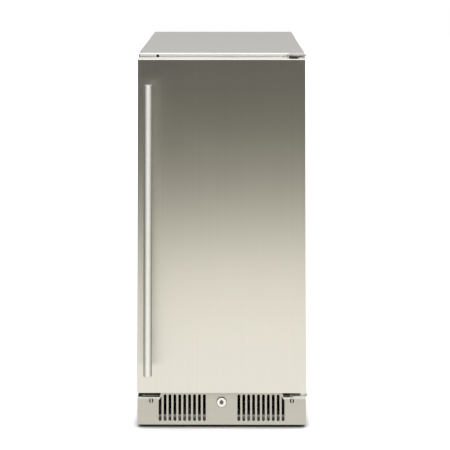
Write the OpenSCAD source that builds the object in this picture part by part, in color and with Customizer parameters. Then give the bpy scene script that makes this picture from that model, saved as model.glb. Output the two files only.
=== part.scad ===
// Undercounter refrigerator with one stainless door, a bar handle and a front kick grille.
// Millimetres, +Z up. The front faces -Y and +X is to the right of somebody facing the door.
// The origin is on the floor, midway between the four levelling legs.

/* [Cabinet] */
// Width across the side panels
cab_w = 380; // [370:1:400]
// Depth of the cabinet without the door
cab_d = 545; // [535:1:580]
// Height of the top above the floor with the legs screwed fully in
cab_top = 832; // [800:1:870]
// Thickness of the foamed walls between the skin and the liner
wall_t = 32; // [30:1:34]
// Thickness of the steel skin
skin = 1.2; // [1:0.1:1.4]

/* [Door] */
// Width of the door
door_w = 377; // [368:1:379]
// Thickness of the door without its gasket
door_t = 41; // [38:1:46]
// How far the door's top edge is below the cabinet's top
door_drop = 9.5; // [9:0.5:10]
// Height of the door's bottom edge above the floor
door_bottom = 79.5; // [79:0.5:80]
// Gap between the door and the cabinet's front, filled by the gasket
seal_gap = 6.5; // [6:0.5:8]
// Radius of the door's folded front edges
door_edge_r = 1.5; // [1.4:0.1:4]

/* [Handle] */
// Diameter of the bar
bar_d = 19; // [16:1:22]
// Length of the bar
bar_l = 639; // [560:1:650]
// Distance from the door's face to the bar's axis
bar_standoff = 35; // [30:1:40]
// Distance from the door's left edge to the bar's axis
bar_inset = 26; // [22:1:32]

/* [Kick grille] */
// How far the grille's face is behind the door's face
grille_setback = 10; // [8:1:12]
// Height of the grille's bottom edge above the floor
grille_bottom = 6; // [5:0.5:8]
// Width of one slot
slot_w = 6.5; // [5:0.5:7]
// Distance between neighbouring slots
slot_pitch = 11; // [10.5:0.1:11.2]
// Number of slots on each side of the lock
slot_count = 10; // [6:1:10]

/* [Hinge] */
// Diameter of the hinge pins
pin_d = 8; // [7:0.5:9]
// Distance from the door's right edge to the pins' axis
pin_inset = 7; // [7:0.5:9]
// Distance from the door's face back to the pins' axis
pin_setback = 20; // [19:0.5:22]

/* [Levelling legs] */
// Diameter of the pads
pad_d = 32; // [28:1:36]
// Diameter of the threaded stems
stem_d = 8; // [8:1:10]

/* [Hidden] */
$fn = 64;
e = 0.01;           // overshoot of a cut
liner_t = 2;        // thickness of the plastic liners
play = 0.05;        // radial clearance of a running fit

// Planes from front to back
front_y = -cab_d / 2;
back_y = cab_d / 2;
door_back = front_y - seal_gap;
door_front = door_back - door_t;
grille_front = door_front + grille_setback;

// Cabinet shell
half_w = cab_w / 2;
side_z0 = 10;
top_edge_r = 3.4;
side_flange = 32;
back_flange = 15;
face_strip_z = cab_top - 10;    // foot of the strip of top panel that shows above the door
seam = 0.4;
base_z = side_z0 + skin;
base_t = 1.6;
rib_z = [400, 520, 640];        // stiffening ribs of the back
rib_h = 60;
bulk_t = 1;
bulk_low = 79;      // machine space in front, below the liner's floor
bulk_high = 245;    // machine space at the rear, below the liner's step
bulk_y = 20;        // face of the step

// Food compartment
liner_x = half_w - skin - wall_t - liner_t;
liner_top = cab_top - skin - wall_t - liner_t;
liner_floor = bulk_low + bulk_t + wall_t + liner_t - 1;
step_top = bulk_high + bulk_t + wall_t + liner_t - 1;
liner_back = back_y - skin - wall_t - liner_t + 1;
step_y = bulk_y - wall_t - liner_t + 1;
corner_r = 12;
flange_y = front_y + skin;
foam_y = flange_y + liner_t;

// Shelves, by the height of their wires
shelf_z = [330, 475, 625];
shelf_front = front_y + 42;
shelf_back = liner_back - 76;
shelf_rod = 5;
shelf_x = liner_x - 4;
ledge_w = 7;

// Door
door_top = cab_top - door_drop;
door_x = door_w / 2;
door_skin = 1;
door_return = 14;
dike_gap = 8;       // clearance of the door's inner dike from the liner
dike_back = door_back + 18;
dike_w = 30;
dike_recess = 12;
gasket_w = 14;
gasket_x = door_x - door_return - 0.2;
gasket_top = door_top - door_return - 0.2;
gasket_bottom = door_bottom + door_return + 0.2;

// Handle
bar_x = -door_x + bar_inset;
bar_y = door_front - bar_standoff;
bar_z = (door_top + door_bottom) / 2;
post_d = 12;
post_z = [bar_z - bar_l / 2 + 60, bar_z + bar_l / 2 - 60];
bolt_d = 5;

// Hinges
pin_x = door_x - pin_inset;
pin_y = door_front + pin_setback;
nose_r = 11;
plate_t = 3;
hinge_left = pin_x - 28.5;
low_plate_z = door_bottom - 12.9;
top_plate_z = cab_top - 4;
bush_d = 14;
bush_flange_d = 20;
bush_l = 16;
collar_d = 14;
hinge_screw_x = [hinge_left + 8, hinge_left + 22];
top_screw_z = top_plate_z - 10;
low_screw_y = pin_y + 16;
hinge_screw_l = 9;
reverse_x = hinge_left - 6.7;   // holes in the face for hanging the door the other way round
reverse_z = cab_top - 8;

// Kick grille
grille_top = door_bottom - 3;
notch_z = low_plate_z;
notch_x = 138.8;
notch_slope = 2.9;
grille_t = 1.2;
slot_x0 = 38.65;
slot_z0 = grille_bottom + 8;
slot_z1 = grille_top - 3.6;
lug_x = 157.6;
lug_z = notch_z - 7.8;
ear_y = grille_front + grille_t;
notch_fold = 3.6;   // depth of the fold along the notch

// Lock
lock_z = 56.3;
barrel_d = 19;
plug_d = 12;
cam_y = grille_front + 17.2;
cam_t = 2;
cam_reach = 30;
cam_w = 12;

// Control box under the ceiling of the food compartment
box_x = 70;
box_front = front_y + 60;
box_back = box_front + 110;
box_bottom = liner_top - 28;
dial_x = -32;
dial_z = liner_top - 14;
dial_shaft = 6;
switch_x = 36;
switch_y = box_front + 5;
switch_z = dial_z;
switch_tilt = 10;

// Evaporator behind its cover
cover_y = liner_back - 62;
cover_x = liner_x - 6;
cover_z0 = step_top + 8;
cover_z1 = liner_top - 10;
cold_fan_z = cover_z1 - 90;
cold_fan_r = 42;
coil_y = [liner_back - 48, liner_back - 8];
coil_x = 112;
coil_rows = 5;
coil_pitch = 40;
coil_z = [step_top + 24, step_top + 24 + coil_rows * coil_pitch];
coil_inlet_z = coil_z[0] + coil_pitch / 2;
coil_outlet_z = coil_z[1] - coil_pitch / 2;
coil_mid_y = (coil_y[0] + coil_y[1]) / 2;

// Machine space
floor_z = base_z + base_t;
cond_x = 120;
cond_y = [front_y + 22, front_y + 82];
cond_rows = 3;
cond_pitch = 19.8;
cond_z = [floor_z + 3, floor_z + 3 + cond_rows * cond_pitch];
cond_low_z = cond_z[0] + cond_pitch / 2;
cond_high_z = cond_z[1] - cond_pitch / 2;
cond_mid_y = [cond_y[0] + 15, cond_y[1] - 15];
warm_fan_x = -60;
warm_fan_z = 78;
warm_fan_r = 55;
warm_fan_y = bulk_y + bulk_t + 7;
warm_fan_depth = 18;
comp_x = 68;
comp_y = 175;
comp_r = 75;
comp_z0 = floor_z + 18;
comp_h = 165;
comp_foot = 66;
drier_x = -150;
drier_y = 62;
drain_x = -100;
drain_y = liner_back - 14;
pipe_d = 6.5;
riser_y = liner_back + 17;   // tubes that climb through the rear foam
cord_x = -150;
cord_y = back_y + 6;
cord_d = 7;

// Levelling legs
leg_x = half_w - 30;
leg_y = cab_d / 2 - 45;
pad_h = 8;
stem_top = 46;

// ---- Shapes that several pieces share ----

// Box between two opposite corners
module block(low, high) {
    translate(low) cube(high - low);
}

// Outline in X and Z, given thickness along Y from plane y0 to plane y1
module front_prism(y0, y1) {
    translate([0, y1, 0]) rotate([90, 0, 0]) linear_extrude(y1 - y0) children();
}

// Outline in Y and Z, given length along X from plane x0 to plane x1
module side_prism(x0, x1) {
    translate([x0, 0, 0]) rotate([90, 0, 90]) linear_extrude(x1 - x0) children();
}

// Rectangle between two corners, with round corners
module rounded(low, high, r) {
    for (x = [low[0] + r, high[0] - r], y = [low[1] + r, high[1] - r]) translate([x, y]) circle(r);
    translate([low[0] + r, low[1]]) square([high[0] - low[0] - 2 * r, high[1] - low[1]]);
    translate([low[0], low[1] + r]) square([high[0] - low[0], high[1] - low[1] - 2 * r]);
}

// Round hole or rod along Y, starting at point p
module y_rod(p, d, l) {
    translate(p) rotate([-90, 0, 0]) cylinder(h = l, d = d);
}

// Round hole or rod along Z, starting at point p
module z_rod(p, d, l) {
    translate(p) cylinder(h = l, d = d);
}

// Straight rod between two points
module rod(a, b, d) {
    v = b - a;
    l = norm(v);
    translate(a) rotate([0, acos(v[2] / l), atan2(v[1], v[0])]) cylinder(h = l, d = d);
}

// Tube through a list of points, with flat ends and slightly proud ball elbows
module run(points, d) {
    last = len(points) - 1;
    for (i = [0:last - 1]) rod(points[i], points[i + 1], d);
    if (last > 1) for (i = [1:last - 1]) translate(points[i]) sphere(d = d + 0.5);
}

// Pan-head screw with a hexagon socket, its head outside the plane of p and its shank along +Z
module screw(d, l) {
    head_d = 1.9 * d;
    head_h = 0.55 * d;
    difference() {
        union() {
            cylinder(h = l, d = d);
            translate([0, 0, -head_h / 2]) cylinder(h = head_h / 2, d = head_d);
            translate([0, 0, -head_h]) cylinder(h = head_h / 2, d1 = 0.8 * head_d, d2 = head_d);
        }
        translate([0, 0, -head_h - e]) cylinder(h = head_h * 0.7, d = 0.7 * d, $fn = 6);
    }
}

// Screw driven in along +Y from the front
module front_screw(p, d, l) {
    translate(p) rotate([-90, 0, 0]) screw(d, l);
}

// Fan wheel on an axis along Y: a bored hub and flat pitched blades inside radius r
module fan_wheel(r, hub_r, depth, shaft_d, blades) {
    difference() {
        union() {
            y_rod([0, 0, 0], 2 * hub_r, depth);
            intersection() {
                y_rod([0, 0, 0], 2 * r, depth);
                for (i = [0:blades - 1]) rotate([0, i * 360 / blades, 0]) rotate([0, 0, 38])
                    translate([-0.8, -depth / 2, hub_r / 2]) cube([1.6, depth * 2, r]);
            }
        }
        y_rod([0, -e, 0], shaft_d, depth + 2 * e);
    }
}

// Finned coil: straight tubes along X in a grid, U bends at both ends and upright fins
module finned_coil(half_x, ys, zs, rows, columns, fins, d) {
    dy = (ys[1] - ys[0]) / columns;
    dz = (zs[1] - zs[0]) / rows;
    for (c = [0:columns - 1], r = [0:rows - 1])
        rod([-half_x, ys[0] + (c + 0.5) * dy, zs[0] + (r + 0.5) * dz],
            [half_x, ys[0] + (c + 0.5) * dy, zs[0] + (r + 0.5) * dz], d);
    for (c = [0:columns - 1], r = [0:rows - 2]) {
        right = (r + c) % 2 == 0;
        translate([right ? half_x : -half_x, ys[0] + (c + 0.5) * dy, zs[0] + (r + 1) * dz])
            rotate([90, 0, 0]) rotate([0, 0, right ? -90 : 90])
                rotate_extrude(angle = 180) translate([dz / 2, 0]) circle(d = d);
    }
    for (i = [0:fins - 1]) {
        x = -half_x + 6 + i * (2 * half_x - 12) / (fins - 1);
        block([x - 0.3, ys[0], zs[0]], [x + 0.3, ys[1], zs[1]]);
    }
}

// ---- Cabinet shell ----

// Side view of the cabinet's outside, drawn in by a margin, with its top front edge rounded
module side_view(margin) {
    r = top_edge_r - margin;
    y0 = front_y + margin;
    z1 = cab_top - margin;
    translate([y0 + r, z1 - r]) circle(r);
    translate([y0, side_z0]) square([back_y - y0, z1 - r - side_z0]);
    translate([y0 + r, side_z0]) square([back_y - y0 - r, z1 - side_z0]);
}

// Left panel; the right one is its mirror image, and both have the holes of a top hinge
module cabinet_side() {
    difference() {
        cabinet_side_sheet();
        for (x = hinge_screw_x) y_rod([-x, front_y - e, top_screw_z], bolt_d, skin + 2 * e);
    }
}

module cabinet_side_sheet() {
    flange_z1 = face_strip_z - seam;
    side_prism(-half_w, -half_w + skin) side_view(skin);
    block([-half_w, front_y, side_z0], [-half_w + skin, front_y + skin, cab_top - top_edge_r]);
    block([-half_w, front_y, side_z0], [-half_w + side_flange, front_y + skin, flange_z1]);
    block([-half_w, back_y - skin, side_z0], [-half_w + back_flange, back_y, cab_top - skin]);
    block([-half_w, front_y, side_z0], [-half_w + back_flange, back_y, side_z0 + skin]);
}

module cabinet_side_left() {
    color([0.80, 0.80, 0.79]) cabinet_side();
}

module cabinet_side_right() {
    color([0.80, 0.80, 0.79]) mirror([1, 0, 0]) cabinet_side();
}

module cabinet_top() {
    middle_x = half_w - side_flange - seam;
    color([0.78, 0.78, 0.76]) difference() {
        union() {
            side_prism(-half_w, half_w) intersection() {
                difference() {
                    side_view(0);
                    side_view(skin);
                }
                translate([front_y, cab_top - top_edge_r]) square([cab_d, top_edge_r]);
            }
            block([-half_w + skin + seam, front_y, face_strip_z],
                [half_w - skin - seam, front_y + skin, cab_top - top_edge_r + e]);
            block([-middle_x, front_y, liner_top + liner_t + seam],
                [middle_x, front_y + skin, face_strip_z + e]);
        }
        for (x = [-reverse_x, reverse_x]) y_rod([x, front_y - e, reverse_z], 7, skin + 2 * e);
        block([-half_w - e, back_y - skin, cab_top - top_edge_r - e], [half_w + e, back_y + e, cab_top - skin]);
    }
}

// Screws of the rear cover sit on these points in X and Z
function rear_screws(z0, z1) = [for (x = [-1, 1], z = [z0 + 12, z1 - 12]) [x * (half_w - back_flange - 9), z]];

module cabinet_back() {
    x = half_w - back_flange - seam;
    color([0.62, 0.63, 0.64]) {
        block([-x, back_y - skin, bulk_high + 3], [x, back_y, cab_top - skin]);
        for (z = rib_z) block([-x + 40, back_y - e, z], [x - 40, back_y + 1.5, z + rib_h]);
    }
}

module rear_cover() {
    x = half_w - back_flange - seam;
    z0 = floor_z + 2;
    z1 = bulk_high + 2;
    color([0.35, 0.36, 0.37]) difference() {
        block([-x, back_y - skin, z0], [x, back_y, z1]);
        for (side = [-1, 1], i = [0:9])
            front_prism(back_y - skin - e, back_y + e)
                rounded([side * 72 - 52, z0 + 38 + i * 17], [side * 72 + 52, z0 + 44 + i * 17], 2.9);
        y_rod([cord_x, back_y - skin - e, z0 + 22], 16, skin + 2 * e);
        for (p = rear_screws(z0, z1)) y_rod([p[0], back_y - skin - e, p[1]], 4.4, skin + 2 * e);
    }
}

module base_pan() {
    x = half_w - skin - seam;
    y = cab_d / 2 - skin - seam;
    color([0.55, 0.56, 0.57]) difference() {
        union() {
            block([-x, -y, base_z], [x, y, floor_z]);
            for (x0 = [-x, x - base_t]) block([x0, -y, base_z], [x0 + base_t, y, base_z + 16]);
            for (sx = [-1, 1], sy = [-1, 1]) z_rod([sx * leg_x, sy * leg_y, base_z], 16, 14);
        }
        for (sx = [-1, 1], sy = [-1, 1])
            z_rod([sx * leg_x, sy * leg_y, base_z - e], stem_d + 2 * play, 14 + 2 * e);
    }
}

module lower_front_frame() {
    x = half_w - side_flange - seam;
    tab_in = notch_x - 0.8;
    tab_out = half_w - 12;
    tab_t = 2;
    tab_y = ear_y + notch_fold + seam;
    color([0.72, 0.72, 0.70]) difference() {
        union() {
            block([-x, front_y, floor_z + seam], [x, front_y + skin, liner_floor - liner_t - seam]);
            for (side = [0, 1]) mirror([side, 0, 0]) {
                block([tab_in, tab_y, notch_z - tab_t], [tab_out, front_y, notch_z]);
                block([lug_x - 9, ear_y + seam, notch_z - 2 * tab_t], [lug_x + 9, tab_y + 3, notch_z - tab_t]);
                block([lug_x - 9, ear_y + seam, lug_z - 9], [lug_x + 9, ear_y + seam + 3, notch_z - tab_t]);
            }
        }
        front_prism(front_y - e, front_y + skin + e)
            rounded([-notch_x + 6, floor_z + 8], [notch_x - 6, bulk_low - 6], 5);
        for (s = [-1, 1]) {
            y_rod([s * lug_x, ear_y, lug_z], bolt_d, 12);
            for (x = hinge_screw_x) z_rod([s * x, low_screw_y, notch_z - tab_t - e], bolt_d, tab_t + 2 * e);
        }
    }
}

module machine_bulkhead() {
    x = half_w - skin;
    color([0.60, 0.61, 0.62]) difference() {
        union() {
            block([-x, flange_y, bulk_low], [x, bulk_y + bulk_t, bulk_low + bulk_t]);
            block([-x, bulk_y, bulk_low], [x, bulk_y + bulk_t, bulk_high + bulk_t]);
            block([-cond_x - 12, bulk_y, floor_z], [cond_x + 12, bulk_y + bulk_t, bulk_low + e]);
            block([-x, bulk_y, bulk_high], [x, back_y - skin, bulk_high + bulk_t]);
        }
        intersection() {
            y_rod([warm_fan_x, bulk_y - e, warm_fan_z], 2 * warm_fan_r + 6, bulk_t + 2 * e);
            block([-half_w, bulk_y - e, floor_z], [half_w, bulk_y + bulk_t + e, bulk_low - 4]);
        }
        service_holes(pipe_d + 1.5);
    }
}

// Ways through the rear wall for the suction and capillary tubes and the drain
module service_holes(d) {
    run(suction_path(), d);
    run(capillary_path(), d);
    z_rod([drain_x, drain_y, bulk_high - 5], 12 + d - pipe_d, wall_t + 20);
}

// ---- Food compartment ----

// The hollow of the food compartment from plane y0 back, grown by a margin; it is shallower below the step
module compartment(margin, y0) {
    x = liner_x + margin;
    r = corner_r + margin;
    front_prism(y0, step_y + margin)
        rounded([-x, liner_floor - margin], [x, liner_top + margin], r);
    front_prism(y0, liner_back + margin)
        rounded([-x, step_top - margin], [x, liner_top + margin], r);
}

module inner_liner() {
    lip = 12;
    color([0.95, 0.95, 0.93]) difference() {
        union() {
            compartment(liner_t, front_y);
            front_prism(flange_y, foam_y)
                rounded([-liner_x - lip, liner_floor - lip], [liner_x + lip, liner_top + lip], corner_r);
        }
        difference() {
            compartment(0, front_y - e);
            for (s = [-1, 1], z = shelf_z) shelf_ledge(s, z);
        }
        service_holes(pipe_d + 1);
        z_rod([drain_x, drain_y, step_top - 5], 15, 10);
    }
}

// Moulded ledge that carries one side of a shelf, and the rib above it that stops it tipping
module shelf_ledge(s, z) {
    for (rib = [[z - shelf_rod / 2 - 8, z - shelf_rod / 2 - 0.2], [z + shelf_rod / 2 + 1, z + shelf_rod / 2 + 5]])
        block([s > 0 ? liner_x - ledge_w : -liner_x - e, shelf_front - 8, rib[0]],
            [s > 0 ? liner_x + e : -liner_x + ledge_w, shelf_back + 4, rib[1]]);
}

module cabinet_foam() {
    x = half_w - skin;
    back = back_y - skin;
    color([0.90, 0.83, 0.62]) difference() {
        block([-x, foam_y, bulk_low + bulk_t], [x, back, cab_top - skin]);
        block([-x - e, bulk_y, bulk_low], [x + e, back + e, bulk_high + bulk_t]);
        compartment(liner_t, front_y);
        service_holes(pipe_d + 1);
        block([-x - e, foam_y - e, cab_top - top_edge_r], [x + e, front_y + top_edge_r, cab_top]);
        for (s = [-1, 1], x = hinge_screw_x) y_rod([s * x, foam_y - e, top_screw_z], bolt_d + 1, 10);
        for (x = [-reverse_x, reverse_x]) y_rod([x, foam_y - e, reverse_z], 8, 10);
    }
}

module wire_shelf(z) {
    inner = shelf_x - 12;
    corners = [[-shelf_x, shelf_front, z], [shelf_x, shelf_front, z], [shelf_x, shelf_back, z],
        [-shelf_x, shelf_back, z]];
    for (i = [0:3]) {
        rod(corners[i], corners[(i + 1) % 4], shelf_rod);
        translate(corners[i]) sphere(d = shelf_rod);
    }
    for (i = [0:15]) {
        x = -inner + i * 2 * inner / 15;
        rod([x, shelf_front, z + 1], [x, shelf_back, z + 1], 3);
    }
    for (y = [shelf_front + 110, shelf_back - 110]) rod([-shelf_x, y, z - 0.5], [shelf_x, y, z - 0.5], 4);
}

module shelf_lower() {
    color([0.85, 0.86, 0.87]) wire_shelf(shelf_z[0]);
}

module shelf_middle() {
    color([0.85, 0.86, 0.87]) wire_shelf(shelf_z[1]);
}

module shelf_upper() {
    color([0.85, 0.86, 0.87]) wire_shelf(shelf_z[2]);
}

module control_box() {
    t = 2;
    color([0.92, 0.92, 0.90]) difference() {
        union() {
            difference() {
                block([-box_x, box_front, box_bottom], [box_x, box_back, liner_top]);
                block([-box_x + t, box_front + t, box_bottom + t], [box_x - t, box_back - t, liner_top + e]);
            }
            block([switch_x - 13, box_front, switch_z - 12], [switch_x + 13, box_front + 16, switch_z + 12]);
            y_rod([dial_x, box_front, dial_z], 14, 10);
        }
        block([switch_x - 9.4, box_front - e, switch_z - 9.4], [switch_x + 9.4, box_front + 13, switch_z + 9.4]);
        rod([switch_x - 11.5, switch_y, switch_z], [switch_x + 11.5, switch_y, switch_z], 3 + 2 * play);
        y_rod([dial_x, box_front - e, dial_z], dial_shaft + 2 * play, 12);
    }
}

module thermostat_dial() {
    color([0.20, 0.20, 0.21]) difference() {
        union() {
            y_rod([dial_x, box_front - 4, dial_z], 26, 3.5);
            y_rod([dial_x, box_front - 12, dial_z], 20, 9);
            y_rod([dial_x, box_front - 4, dial_z], dial_shaft, 13);
        }
        block([dial_x - 0.7, box_front - 13, dial_z + 2], [dial_x + 0.7, box_front - 11, dial_z + 11]);
        for (i = [0:11]) rotate_about([dial_x, 0, dial_z], 15 + i * 30)
            y_rod([dial_x + 11, box_front - 13, dial_z], 3, 9);
    }
}

// Turns its children about an axis along Y through point p
module rotate_about(p, angle) {
    translate(p) rotate([0, angle, 0]) translate(-p) children();
}

module light_switch() {
    color([0.15, 0.15, 0.16]) translate([0, switch_y, switch_z]) rotate([switch_tilt, 0, 0]) {
        side_prism(switch_x - 9, switch_x + 9)
            polygon([[-6, -8], [-4.6, 0], [-6, 8], [4, 5], [4, -5]]);
        rod([switch_x - 11, 0, 0], [switch_x + 11, 0, 0], 3);
    }
}

module led_lamp() {
    color([0.98, 0.97, 0.92]) translate([0, 0, box_bottom - 5]) linear_extrude(5)
        rounded([-45, box_front + 40], [45, box_front + 58], 8);
}

module temperature_sensor() {
    x = cover_x - 16;
    color([0.80, 0.50, 0.30]) {
        z_rod([x, cover_y - 6, cover_z1 - 120], 6, 60);
        for (z = [cover_z1 - 106, cover_z1 - 78]) difference() {
            block([x - 6, cover_y - 10, z], [x + 6, cover_y, z + 6]);
            z_rod([x, cover_y - 6, z - e], 6, 6 + 2 * e);
        }
    }
}

module evaporator_coil() {
    color([0.80, 0.81, 0.82]) finned_coil(coil_x, coil_y, coil_z, coil_rows, 1, 16, 8);
}

module evaporator_cover() {
    t = 2;
    color([0.94, 0.94, 0.92]) {
        difference() {
            block([-cover_x, cover_y, cover_z0], [cover_x, liner_back, cover_z1]);
            block([-cover_x + t, cover_y + t, cover_z0 + t], [cover_x - t, liner_back + e, cover_z1 - t]);
            y_rod([0, cover_y - e, cold_fan_z], 2 * cold_fan_r + 6, t + 2 * e);
            for (x = [-100:20:100]) front_prism(cover_y - e, cover_y + t + e)
                rounded([x - 3, cover_z0 + 12], [x + 3, cover_z0 + 52], 2.9);
        }
        for (a = [0:45:135]) intersection() {
            y_rod([0, cover_y, cold_fan_z], 2 * cold_fan_r + 8, 1.6);
            rotate_about([0, 0, cold_fan_z], a)
                block([-cold_fan_r - 6, cover_y, cold_fan_z - 1], [cold_fan_r + 6, cover_y + 1.6, cold_fan_z + 1]);
        }
    }
}

module evaporator_fan_motor() {
    color([0.25, 0.25, 0.26]) {
        y_rod([0, cover_y + 24, cold_fan_z], 36, 26);
        y_rod([0, cover_y + 6, cold_fan_z], 4, 19);
        for (s = [-1, 1]) {
            block([s * 32 - 20, cover_y + 34, cold_fan_z - 4], [s * 32 + 20, cover_y + 37, cold_fan_z + 4]);
            block([s * 50 - 3, cover_y + 2, cold_fan_z - 4], [s * 50 + 3, cover_y + 37, cold_fan_z + 4]);
        }
    }
}

module evaporator_fan_blade() {
    color([0.93, 0.93, 0.93]) translate([0, cover_y + 5, cold_fan_z])
        fan_wheel(cold_fan_r, 12, 14, 4 + 2 * play, 5);
}

module drain_tube() {
    color([0.30, 0.30, 0.31]) difference() {
        union() {
            z_rod([drain_x, drain_y, 60], 12, step_top - 60);
            z_rod([drain_x, drain_y, step_top], 20, 1.5);
        }
        z_rod([drain_x, drain_y, 59], 9, step_top);
    }
}

// ---- Machine space ----

// Each tube's path starts and ends on the face of the stub that it is brazed to
function discharge_path() = [[comp_x, comp_y - comp_r - 12, 90], [comp_x, 55, 90], [comp_x, 55, cond_high_z],
    [cond_x + 30, 55, cond_high_z], [cond_x + 30, cond_mid_y[0], cond_high_z],
    [cond_x, cond_mid_y[0], cond_high_z]];
function liquid_path() = [[cond_x, cond_mid_y[1], cond_low_z], [cond_x + 42, cond_mid_y[1], cond_low_z],
    [cond_x + 42, drier_y, cond_low_z], [drier_x, drier_y, cond_low_z], [drier_x, drier_y, 60]];
function capillary_path() = [[drier_x, drier_y, 160], [drier_x, drier_y, 200], [drier_x, riser_y, 200],
    [drier_x, riser_y, coil_inlet_z], [-coil_x - 16, riser_y, coil_inlet_z],
    [-coil_x - 16, coil_mid_y, coil_inlet_z], [-coil_x, coil_mid_y, coil_inlet_z]];
function suction_path() = [[comp_x + comp_r + 12, comp_y, 150], [half_w - 18, comp_y, 150],
    [half_w - 18, riser_y, 150], [half_w - 18, riser_y, coil_outlet_z], [coil_x + 16, riser_y, coil_outlet_z],
    [coil_x + 16, coil_mid_y, coil_outlet_z], [coil_x, coil_mid_y, coil_outlet_z]];

module refrigerant_pipes() {
    color([0.72, 0.42, 0.26]) {
        run(discharge_path(), pipe_d);
        run(liquid_path(), pipe_d);
        run(capillary_path(), pipe_d);
        run(suction_path(), pipe_d);
    }
}

module compressor_can() {
    r = 30;
    translate([comp_x, comp_y, comp_z0]) rotate_extrude() intersection() {
        union() {
            translate([-comp_r, 0]) rounded([0, 0], [2 * comp_r, comp_h], r);
            translate([0, comp_h * 0.52]) square([comp_r + 4, 5]);
        }
        square([comp_r + 5, comp_h]);
    }
}

module compressor() {
    z = comp_z0;
    color([0.10, 0.10, 0.11]) {
        compressor_can();
        difference() {
            block([comp_x - comp_foot - 14, comp_y - comp_foot - 14, z - 4],
                [comp_x + comp_foot + 14, comp_y + comp_foot + 14, z + 1]);
            for (sx = [-1, 1], sy = [-1, 1])
                z_rod([comp_x + sx * comp_foot, comp_y + sy * comp_foot, z - 5], 12, 7);
        }
        rod([comp_x, comp_y - comp_r - 12, 90], [comp_x, comp_y - comp_r + 8, 90], pipe_d + 1.5);
        rod([comp_x + comp_r + 12, comp_y, 150], [comp_x + comp_r - 8, comp_y, 150], pipe_d + 1.5);
    }
}

module compressor_grommets() {
    color([0.08, 0.08, 0.08]) for (sx = [-1, 1], sy = [-1, 1])
        translate([comp_x + sx * comp_foot, comp_y + sy * comp_foot, floor_z]) difference() {
            union() {
                cylinder(h = comp_z0 - 4 - floor_z, d = 22);
                cylinder(h = comp_z0 + 4 - floor_z, d = 12);
            }
            translate([0, 0, -e]) cylinder(h = 30, d = 6.5);
        }
}

module terminal_cover() {
    color([0.12, 0.12, 0.13]) difference() {
        block([comp_x - comp_r - 22, comp_y - 26, 70], [comp_x - comp_r + 20, comp_y + 26, 130]);
        z_rod([comp_x, comp_y, 60], 2 * comp_r + 8 + 0.2, 90);
    }
}

module condenser_coil() {
    link_x = -cond_x - 20;
    color([0.22, 0.22, 0.23]) {
        finned_coil(cond_x, cond_y, cond_z, cond_rows, 2, 24, 8);
        run([[-cond_x, cond_mid_y[0], cond_low_z], [link_x, cond_mid_y[0], cond_low_z],
            [link_x, cond_mid_y[0], cond_high_z], [link_x, cond_mid_y[1], cond_high_z],
            [-cond_x, cond_mid_y[1], cond_high_z]], 7);
    }
}

// The motor hangs on four legs behind the bulkhead, with its wheel in front of it
module condenser_fan_motor() {
    y = bulk_y + bulk_t;
    ring = warm_fan_r + 8;
    motor_y = warm_fan_y + warm_fan_depth + 5;
    motor_l = 26;
    arm_y = motor_y + 8;
    color([0.30, 0.31, 0.32]) translate([warm_fan_x, 0, warm_fan_z]) {
        y_rod([0, motor_y, 0], 52, motor_l);
        y_rod([0, warm_fan_y - 2, 0], 5, motor_y - warm_fan_y + 3);
        for (a = [45:90:315]) rotate([0, a, 0]) {
            block([-4, arm_y, 20], [4, arm_y + 2, ring]);
            block([-4, y, ring - 3], [4, arm_y + 2, ring]);
        }
    }
}

module condenser_fan_blade() {
    color([0.16, 0.16, 0.17]) translate([warm_fan_x, warm_fan_y, warm_fan_z])
        fan_wheel(warm_fan_r, 15, warm_fan_depth, 5 + 2 * play, 6);
}

module filter_drier() {
    color([0.76, 0.46, 0.28]) translate([drier_x, drier_y, 60]) {
        cylinder(h = 12, d1 = pipe_d + 2, d2 = 25);
        translate([0, 0, 12]) cylinder(h = 76, d = 25);
        translate([0, 0, 88]) cylinder(h = 12, d1 = 25, d2 = pipe_d + 2);
    }
}

module condensate_pan() {
    low = [-142, drain_y - 78, floor_z + 1];
    high = [-32, drain_y + 22, floor_z + 34];
    color([0.20, 0.21, 0.22]) difference() {
        block(low, high);
        block(low + [2, 2, 2], high + [-2, -2, e]);
    }
}

// Mains cord: out of the rear cover, up the back in two clips, round a loop and down to its plug
module power_cord() {
    exit_z = floor_z + 24;
    loop_r = 30;
    loop_z = 470;
    plug_z = 300;
    color([0.09, 0.09, 0.10]) {
        run([[cord_x, back_y - 14, exit_z], [cord_x, cord_y, exit_z], [cord_x, cord_y, loop_z]], cord_d);
        translate([cord_x + loop_r, cord_y, loop_z]) rotate([90, 0, 0])
            rotate_extrude(angle = 180) translate([loop_r, 0]) circle(d = cord_d);
        x = cord_x + 2 * loop_r;
        rod([x, cord_y, loop_z], [x, cord_y, plug_z + 30], cord_d);
        z_rod([x, cord_y, plug_z + 28], 12, 22);
        block([x - 13, back_y + 1.8, plug_z], [x + 13, back_y + 20, plug_z + 30]);
        y_rod([cord_x, back_y - 6, exit_z], 16, 6);
        y_rod([cord_x, back_y, exit_z], 22, 2);
    }
    color([0.80, 0.68, 0.38]) for (s = [-1, 1]) {
        x = cord_x + 2 * loop_r + s * 6;
        block([x - 0.8, back_y + 8, plug_z - 17], [x + 0.8, back_y + 14, plug_z]);
    }
}

// ---- Door ----

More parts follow.
